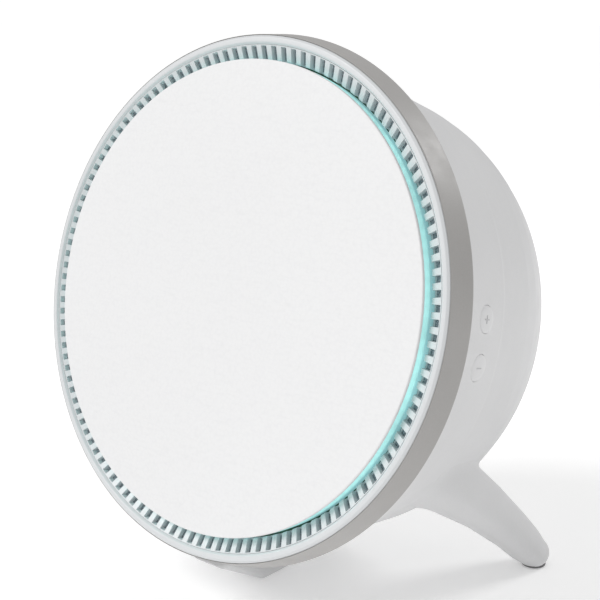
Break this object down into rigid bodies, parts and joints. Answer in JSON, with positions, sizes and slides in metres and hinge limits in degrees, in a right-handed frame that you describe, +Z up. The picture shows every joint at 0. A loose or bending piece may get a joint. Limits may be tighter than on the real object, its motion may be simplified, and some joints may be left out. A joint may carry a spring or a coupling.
{
  "type": "smart speaker",
  "caption": "Disc-fronted desk smart speaker leaning back on a moulded tripod, with a slotted light ring, side buttons and a sprung driver.",
  "frame": {"origin": "centre of the bounding box on the floor under the feet", "axes": "+Z up, the round front faces -Y and leans back towards +Y, +X to the viewer's right, the button side"},
  "size_m": [0.2054, 0.1395, 0.2173],
  "materials": {
    "white_plastic": "fine satin",
    "leatherette": "fine grain",
    "band_grey": "satin",
    "housing_grey": "soft satin",
    "light_cyan": "translucent, lit",
    "board_green": "solder mask",
    "black_plastic": "moulded",
    "steel": "brushed",
    "ferrite": "sintered",
    "cone_paper": "pressed fibre",
    "soft_rubber": "matt",
    "coil_copper": "enamelled",
    "spider_cloth": "woven",
    "foam_grey": "open cell",
    "sink_metal": "anodised",
    "lamp_white": "moulded",
    "mesh_grey": "fine woven"
  },
  "bodies": {
    "speaker": {"front_disc_cover": "leatherette", "disc_panel": "white_plastic", "light_guide_ring": "light_cyan", "led_ring_board": "board_green", "led_emitters": "lamp_white", "microphones": "steel", "slotted_vent_ring": "white_plastic", "vent_mesh_ring": "mesh_grey", "front_rim": "white_plastic", "outer_band": "band_grey", "front_baffle": "black_plastic", "driver_basket": "steel", "driver_top_plate": "steel", "driver_magnet": "ferrite", "driver_pole_yoke": "steel", "driver_surround": "soft_rubber", "driver_spider": "spider_cloth", "driver_gasket": "foam_grey", "rear_housing": "housing_grey", "stand_legs": "housing_grey", "baffle_screws": "steel", "panel_screws": "steel", "driver_screws": "steel", "back_plate_screws": "steel", "back_plate": "housing_grey", "power_inlet": "steel", "power_board": "board_green", "main_board": "board_green", "board_screws": "steel", "processor_shield": "steel", "heat_sink": "sink_metal", "board_components": "black_plastic", "antenna_boards": "board_green", "damping_foam": "foam_grey", "switch_board": "board_green", "tact_switches": "black_plastic", "foot_pads": "soft_rubber"},
    "volume_up": {"volume_up_button": "housing_grey"},
    "volume_down": {"volume_down_button": "housing_grey"},
    "cone": {"driver_cone": "cone_paper", "driver_dust_cap": "cone_paper", "driver_voice_coil": "coil_copper"}
  },
  "joints": [
    {"name": "volume_up_press", "type": "slide", "parent": "speaker", "child": "volume_up", "axis": [-0.9966, -0.0193, -0.0796], "range_m": [0, 0.0006], "stiffness_N_per_m": 900, "springref_m": -0.0008},
    {"name": "volume_down_press", "type": "slide", "parent": "speaker", "child": "volume_down", "axis": [-0.9949, 0.0238, 0.0982], "range_m": [0, 0.0006], "stiffness_N_per_m": 900, "springref_m": -0.0008},
    {"name": "cone_travel", "type": "slide", "parent": "speaker", "child": "cone", "axis": [0, -0.972, 0.2351], "range_m": [-0.0025, 0.0025], "stiffness_N_per_m": 1400}
  ]
}
